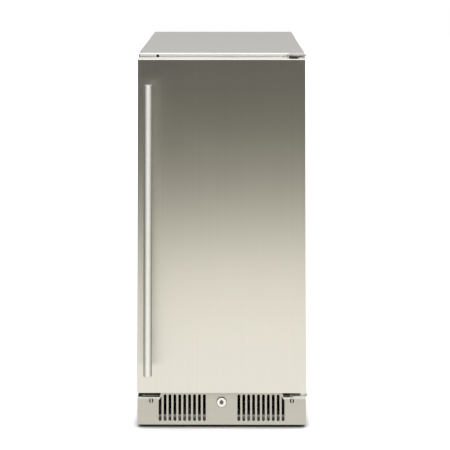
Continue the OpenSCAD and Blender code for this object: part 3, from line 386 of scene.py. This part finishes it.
LOOKS = {
    "stainless_skin": brushed("stainless_skin_look", STEEL, 0.34, X),
    "side_panel_steel": brushed("side_panel_look", (0.66, 0.655, 0.64), 0.36, Z),
    "galvanised_steel": galvanised("galvanised_look", ZINC),
    "black_painted_steel": painted("black_paint_look", (0.013, 0.013, 0.014), 0.38),
    "polished_steel": brushed(
        "handle_look", (0.78, 0.765, 0.73), 0.46, Z, around=True, stretch=0.92, painted_rim_shade=0.62
    ),
    "hardware_steel": plain_metal("hardware_look", (0.74, 0.73, 0.71), 0.16),
    "hinge_steel": brushed("hinge_look", (0.74, 0.73, 0.70), 0.26, X, stretch=0.5, wear=0.1),
    "white_liner_plastic": plastic("liner_look", (0.58, 0.585, 0.57), 0.3, glow=0.05),
    "white_fan_plastic": plastic("fan_plastic_look", (0.66, 0.66, 0.65), 0.45, glow=0.1),
    "nylon": plastic("nylon_look", (0.78, 0.77, 0.73), 0.4, glow=0.3),
    "insulation_foam": foam("foam_look", FOAM),
    "black_plastic": plastic("black_plastic_look", (0.014, 0.014, 0.015), 0.42, 0.5 * MM, 0.02 * MM),
    "lamp_diffuser": plastic("lamp_look", (0.92, 0.90, 0.84), 0.35, glow=0.6),
    "gasket_rubber": rubber("gasket_look", (0.36, 0.36, 0.352), 0.5),
    "black_rubber": rubber("black_rubber_look", (0.018, 0.018, 0.018), 0.55),
    "ferrite_strip": rubber("ferrite_look", (0.06, 0.045, 0.04), 0.6),
    "shelf_wire": plain_metal("shelf_wire_look", (0.76, 0.77, 0.78), 0.14),
    "coil_aluminium": plain_metal("aluminium_look", (0.72, 0.73, 0.74), 0.34),
    "coil_black": painted("coil_paint_look", (0.02, 0.02, 0.021), 0.5),
    "copper": plain_metal("copper_look", (0.72, 0.36, 0.22), 0.26, stain=(0.34, 0.17, 0.11)),
    "zinc_steel": plain_metal("zinc_look", (0.6, 0.6, 0.58), 0.3),
}

SPECIAL_LOOKS = {
    "door_outer_panel": brushed("door_look", STEEL, 0.37, Z, stretch=0.85),
    "cabinet_top": brushed("top_look", (0.69, 0.672, 0.62), 0.34, Y, rolled=1.6 * MM),
    "kick_grille": masked(
        masked(brushed("grille_look", (0.485, 0.47, 0.42), 0.36, X), folded_edge, PAINTED_FOLD_HIGHLIGHT),
        behind_grille,
        PAINTED_SHADE_BLACK,
    ),
    "lower_front_frame": masked(
        painted("front_frame_look", (0.46, 0.47, 0.44), 0.5), all_but_tabs, PAINTED_SHADE_BLACK
    ),
    "cabinet_foam": masked(foam("cabinet_foam_look", FOAM), front_edge, PAINTED_SHADE_BLACK),
    "base_pan": masked(galvanised("base_pan_look", ZINC), front_edge, PAINTED_SHADE_BLACK),
    "bottom_hinge_bracket": plain_metal("low_hinge_look", (0.72, 0.72, 0.69), 0.55),
    "cabinet_screws": masked(plain_metal("screw_look", (0.62, 0.61, 0.59), 0.2), beside_streak, SHADED),
    "lock_body": masked(plain_metal("lock_look", (0.86, 0.86, 0.84), 0.3), front_rims, SHADED),
    "lock_cylinder": masked(plain_metal("lock_core_look", (0.80, 0.80, 0.78), 0.3), keyway, PAINTED_RECESS_SHADE),
}

for node_name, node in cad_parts.items():
    slot_name = node.data.materials[0].name
    node.data.materials[0] = SPECIAL_LOOKS.get(node_name) or LOOKS[slot_name]


# ---- Soft and moulded pieces ----

CORD_R = 3.5 * MM
CORD_OFF = 8 * MM                       # from the cabinet's back to the middle of the cord
PLUG_HALF_X, PLUG_HALF_Y = 13 * MM, 9.1 * MM
PLUG_Z = 300 * MM                       # where the plug hangs
# The cord's thickening above the plug, in mm: (height above the plug, how much more than CORD_R)
PLUG_NECK = [(22, 0), (20, 0.9), (17, 0.6), (14, 1.4), (11, 1.0), (8, 2.0), (5, 1.5), (2, 2.6), (-2, 2.6)]
# The plug: (height in mm, share of its full width and depth)
PLUG_SHAPE = [
    (0, 0.90), (1, 0.97), (2.5, 1.0), (6, 1.0), (7, 0.94), (9, 0.94), (10, 1.0), (12, 0.94), (14, 0.94),
    (15, 1.0), (17, 0.94), (19, 0.94), (20, 0.98), (24, 0.86), (27, 0.70), (29, 0.56), (30, 0.46),
]


def mesh_piece(name, shape, slot, body, stands_for):
    """A new piece from (vertices, faces) that rides on a CAD body and stands for a node of it."""
    vertices, faces = shape
    mesh = bpy.data.meshes.new(name)
    mesh.from_pydata(vertices, [], faces)
    mesh.materials.append(LOOKS[slot])
    piece = bpy.data.objects.new(name, mesh)
    bpy.context.scene.collection.objects.link(piece)
    mesh.shade_smooth()
    mesh.set_sharp_from_angle(angle=math.radians(38))
    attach(piece, body)
    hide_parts(stands_for)


def arc(centre, radius, start, stop, steps):
    """Points of an arc in a plane, with angles in degrees."""
    angles = [math.radians(start + (stop - start) * i / steps) for i in range(steps + 1)]
    return [(centre[0] + radius * math.cos(a), centre[1] + radius * math.sin(a)) for a in angles]


def door_gasket():
    """Bellows gasket: one closed section swept round the door's edge, with mitred corners."""
    low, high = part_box("door_gasket")
    width = 14 * MM
    depth = high.y - low.y
    lip = 0.9 * MM
    fold = 1.7 * MM
    half = [(0, 0), (0, 0.18 * depth)]
    half += arc((fold * 0.9, 0.36 * depth), fold * 0.55, 215, 145, 5)
    half += [(0.35 * fold, 0.6 * depth)]
    half += arc((lip, depth - lip), lip, 180, 90, 5)
    section = half + [(width - u, v) for u, v in reversed(half)]
    corners = [
        (low.x, low.z, 1, 1),
        (high.x, low.z, -1, 1),
        (high.x, high.z, -1, -1),
        (low.x, high.z, 1, -1),
    ]
    vertices = [(x + sx * u, low.y + v, z + sz * u) for x, z, sx, sz in corners for u, v in section]
    n = len(section)
    faces = [
        (c * n + i, c * n + (i + 1) % n, (c + 1) % 4 * n + (i + 1) % n, (c + 1) % 4 * n + i)
        for c in range(4)
        for i in range(n)
    ]
    mesh_piece("gasket_bellows", (vertices, faces), "gasket_rubber", "door", "door_gasket")


def rounded_path(points, radius, steps=8):
    """The points of a path with each corner turned into an arc."""
    path = [points[0]]
    for before, corner, after in zip(points, points[1:], points[2:]):
        a = (before - corner).normalized()
        b = (after - corner).normalized()
        start, stop = corner + a * radius, corner + b * radius
        for i in range(steps + 1):
            s = i / steps
            path.append(start * (1 - s) ** 2 + corner * 2 * s * (1 - s) + stop * s * s)
    return path + [points[-1]]


def over_rings(rings):
    """(vertices, faces) of a skin over rings of points, closed at both ends."""
    n, count = len(rings[0]), len(rings)
    faces = [
        (i * n + k, i * n + (k + 1) % n, (i + 1) * n + (k + 1) % n, (i + 1) * n + k)
        for i in range(count - 1)
        for k in range(n)
    ]
    faces.append(tuple(reversed(range(n))))
    faces.append(tuple(range((count - 1) * n, count * n)))
    return [point for ring in rings for point in ring], faces


def tube(path, radii, sides=20):
    """A round tube with a radius at each point of a path that keeps its X or its Y on each stretch."""
    rings = []
    for i, point in enumerate(path):
        way = (path[min(i + 1, len(path) - 1)] - path[max(i - 1, 0)]).normalized()
        side = Vector(Y).cross(way)
        side = side.normalized() if side.length > 1e-6 else Vector(X)
        up = way.cross(side)
        turns = [2 * math.pi * k / sides for k in range(sides)]
        rings.append([point + (side * math.cos(a) + up * math.sin(a)) * radii[i] for a in turns])
    return over_rings(rings)


def soft_box_ring(centre, half_x, half_y, sides=40):
    """A rectangle with soft corners round a point, in a level plane."""
    ring = []
    for k in range(sides):
        c, s = math.cos(2 * math.pi * k / sides), math.sin(2 * math.pi * k / sides)
        soft_c, soft_s = math.copysign(abs(c) ** 0.45, c), math.copysign(abs(s) ** 0.45, s)
        ring.append(centre + Vector((half_x * soft_c, half_y * soft_s, 0)))
    return ring


def joined(parts):
    """One (vertices, faces) pair out of several."""
    vertices, faces = [], []
    for some_vertices, some_faces in parts:
        faces += [tuple(len(vertices) + i for i in face) for face in some_faces]
        vertices += some_vertices
    return vertices, faces


def cord_sheath(up_x, down_x, exit_z, plug_top):
    """The cord: out of the cabinet, up its back, over in a half circle and down into the plug."""
    run_y = side_high.y + CORD_OFF
    loop_r = (down_x - up_x) / 2
    loop_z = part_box("power_cord")[1].z - CORD_R - loop_r
    inside = Vector((up_x, side_high.y - 4 * CORD_R, exit_z))
    corner = Vector((up_x, run_y, exit_z))
    top = Vector((up_x, run_y, loop_z))
    rise = rounded_path([inside, corner, top], 2 * CORD_R)
    bend = [Vector((x, run_y, z)) for x, z in arc((up_x + loop_r, loop_z), loop_r, 180, 0, 32)]
    neck = [Vector((down_x, run_y, plug_top + height * MM)) for height, _ in PLUG_NECK]
    even = [CORD_R] * (len(rise) + len(bend) - 1)
    return tube(rise + bend[1:] + neck, even + [CORD_R + more * MM for _, more in PLUG_NECK])


def cord_sleeve(x, z):
    """The flanged sleeve where the cord comes out of the rear cover."""
    steps = [(-6, 8), (0, 8), (0, 11), (1.4, 11), (2, 10.2)]
    path = [Vector((x, side_high.y + step * MM, z)) for step, _ in steps]
    return tube(path, [radius * MM for _, radius in steps], 36)


def plug_body(centre):
    """The moulded plug: ribs for the fingers, then a taper towards the cord."""
    rings = [
        soft_box_ring(centre + Vector((0, 0, z * MM)), PLUG_HALF_X * share, PLUG_HALF_Y * share)
        for z, share in PLUG_SHAPE
    ]
    return over_rings(rings)


def plug_prong(centre):
    """A flat prong that points down, with its end a little narrower."""
    rings = [
        soft_box_ring(centre - Vector((0, 0, z * MM)), 0.8 * MM * share, 3 * MM * share, 24)
        for z, share in ((17, 0.6), (15, 1), (-1, 1))
    ]
    return over_rings(rings)


def mains_cord():
    """The cord with its sleeve and plug, and the plug's two prongs."""
    low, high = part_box("power_cord")
    up_x = low.x + 11 * MM
    down_x = high.x - PLUG_HALF_X
    exit_z = low.z + 11 * MM
    plug_foot = Vector((down_x, high.y - PLUG_HALF_Y, PLUG_Z))
    sheath = cord_sheath(up_x, down_x, exit_z, PLUG_Z + PLUG_SHAPE[-1][0] * MM)
    black = joined([sheath, cord_sleeve(up_x, exit_z), plug_body(plug_foot)])
    mesh_piece("cord_and_plug", black, "black_rubber", "cabinet", "power_cord")
    prongs = [plug_prong(plug_foot + Vector((side * 6 * MM, 0, 0))) for side in (-1, 1)]
    mesh_piece("plug_prongs", joined(prongs), "hardware_steel", "cabinet", "power_cord")


door_gasket()
mains_cord()

bpy.context.view_layer.update()


# ---- Studio ----

FLOOR_HALF = 9.0
FLOOR_NEAR, FLOOR_FAR = (1, 0.98, 0.93), (1, 0.95, 0.72)
# How bright metal sees the floor: (distance in front of the door, brightness)
FLOOR_LEVELS = [
    (0, 1.17), (0.57, 1.22), (0.98, 1.24), (1.37, 1.14), (1.68, 0.76), (2.26, 0.5), (2.73, 0.3), (3.6, 0.18),
]
# How bright metal sees the room: (degrees up from the horizon in front and over to the back, brightness)
ROOM_LEVELS = [
    (0, 0.1), (4.5, 0.16), (12, 0.7), (20, 0.9), (33, 3.3), (52, 3.7), (75, 1.2), (140, 0.9), (165, 0.78),
    (172, 0.86), (174, 0.54), (177, 0.12), (180, 0.1),
]
# How far to each side metal sees the floor bright, where it sees it dimmed, and what is left on each side
SIDE_BRIGHT, SIDE_DIM = 0.35, 1.0
LEFT_REST, RIGHT_REST = 0.3, 0.75
ROOM_LIGHT = 0.95
CONTACT_SHADOW = 14 * MM
SUN_ENERGY, SUN_ANGLE, SUN_TILT = 2.6, 60, 4


def floor_glow(t):
    """What metal sees of the floor: it fades towards the dark parts of the room."""
    x, y, _ = t.node("SeparateXYZ", {0: t.node("NewGeometry").outputs["Position"]}).outputs
    ahead = t.math("SUBTRACT", door_low.y, y)
    level = t.curve(ahead, FLOOR_LEVELS)
    color = t.mix(t.spread(ahead, 0, 1, True, 0, FLOOR_LEVELS[-1][0]), FLOOR_NEAR, FLOOR_FAR)
    left = t.spread(x, LEFT_REST, 1, True, -SIDE_DIM, -SIDE_BRIGHT)
    right = t.spread(x, RIGHT_REST, 1, True, SIDE_DIM, SIDE_BRIGHT)
    sides = t.math("MULTIPLY", left, right)
    return t.node("Emission", {"Color": color, "Strength": t.math("MULTIPLY", level, sides)}).outputs[0]


def studio_floor():
    """Pale matt floor, shaded by the lamps, with a soft shadow painted into its colour where something
    touches it.
    """
    corners = [(-1, -1), (1, -1), (1, 1), (-1, 1)]
    mesh = bpy.data.meshes.new("studio_floor")
    mesh.from_pydata([(FLOOR_HALF * x, FLOOR_HALF * y, 0) for x, y in corners], [], [(0, 1, 2, 3)])
    floor = bpy.data.objects.new("studio_floor", mesh)
    bpy.context.scene.collection.objects.link(floor)
    t = new_material("floor_look")
    glow = floor_glow(t)
    # Painted shadow: ambient occlusion within CONTACT_SHADOW darkens the floor's colour
    open_sky = t.node("AmbientOcclusion", {"Distance": CONTACT_SHADOW}, samples=8).outputs["AO"]
    pale = t.tint((0.86, 0.86, 0.86), t.math("POWER", open_sky, 1.5))
    matt = t.node("BsdfDiffuse", {"Color": pale}).outputs[0]
    seen_by_metal = t.node("LightPath").outputs["Is Glossy Ray"]
    both = t.node("MixShader", {0: seen_by_metal, 1: matt, 2: glow}).outputs[0]
    t.node("OutputMaterial", {"Surface": both})
    mesh.materials.append(t.owner)
    t.owner.cycles.emission_sampling = "NONE"


def studio_world():
    """White room. Metal sees it dark at the horizon in front, bright above that and grey behind."""
    world = bpy.data.worlds.new("studio_world")
    bpy.context.scene.world = world
    t = Tree(world)
    x, y, z = t.node("SeparateXYZ", {0: t.node("TexCoord").outputs["Generated"]}).outputs
    ahead = t.math("MULTIPLY", y, -1.0)
    turn = t.math("MULTIPLY", t.math("ARCTAN2", z, ahead), 180 / math.pi)
    metal = t.curve(turn, ROOM_LEVELS)
    metal = t.math("MULTIPLY", metal, t.spread(t.math("ABSOLUTE", x), 1, 0.3, True, 0.35, 0.9))
    path = t.node("LightPath").outputs
    keys = {"data_type": "FLOAT"}
    lit = t.node("Mix", {"Factor": path["Is Glossy Ray"], 2: ROOM_LIGHT, 3: metal}, **keys).outputs[0]
    shown = t.node("Mix", {"Factor": path["Is Camera Ray"], 2: lit, 3: 1.0}, **keys).outputs[0]
    background = t.node("Background", {"Color": (1.0, 1.0, 1.0), "Strength": shown}).outputs[0]
    t.node("OutputWorld", {"Surface": background})
    world.cycles.sampling_method = "NONE"


def overhead_light():
    """A very wide sun, which metal doesn't mirror."""
    data = bpy.data.lights.new("overhead_light", "SUN")
    data.energy = SUN_ENERGY
    data.angle = math.radians(SUN_ANGLE)
    lamp = bpy.data.objects.new("overhead_light", data)
    lamp.rotation_euler = (math.radians(SUN_TILT), 0, 0)
    lamp.visible_glossy = False
    bpy.context.scene.collection.objects.link(lamp)


studio_floor()
studio_world()
overhead_light()


# ---- Camera ----

LENS = 86.37
CAMERA_X = 17.4 * MM
CAMERA_AHEAD, CAMERA_ABOVE = 2.4333, 0.2659   # of the door's face, and of the top panel
PITCH, YAW = 1.378, 0.276                     # in degrees
SHIFT_X, SHIFT_Y = 0.00199, -0.69855


def shift_driver(camera, channel, value):
    """The lens shift holds only where the camera is first put, so that other views stay centred."""
    driver = camera.data.driver_add(channel).driver
    driver.type = "SCRIPTED"
    variable = driver.variables.new()
    variable.name = "y"
    variable.type = "TRANSFORMS"
    variable.targets[0].id = camera
    variable.targets[0].transform_type = "LOC_Y"
    variable.targets[0].transform_space = "WORLD_SPACE"
    driver.expression = f"{value} if abs(y - ({camera.location.y:.6f})) < 0.0005 else 0"


def studio_camera():
    data = bpy.data.cameras.new("camera")
    data.sensor_width = 36
    data.lens = LENS
    camera = bpy.data.objects.new("camera", data)
    bpy.context.scene.collection.objects.link(camera)
    camera.location = (CAMERA_X, door_low.y - CAMERA_AHEAD, top_high.z + CAMERA_ABOVE)
    camera.rotation_euler = (math.radians(90 + PITCH), 0, math.radians(YAW))
    shift_driver(camera, "shift_x", SHIFT_X)
    shift_driver(camera, "shift_y", SHIFT_Y)
    bpy.context.scene.camera = camera


studio_camera()

scene = bpy.context.scene
scene.view_settings.view_transform = "Standard"
scene.view_settings.look = "None"
scene.cycles.max_bounces = 10
scene.cycles.glossy_bounces = 6
scene.cycles.sample_clamp_indirect = 6
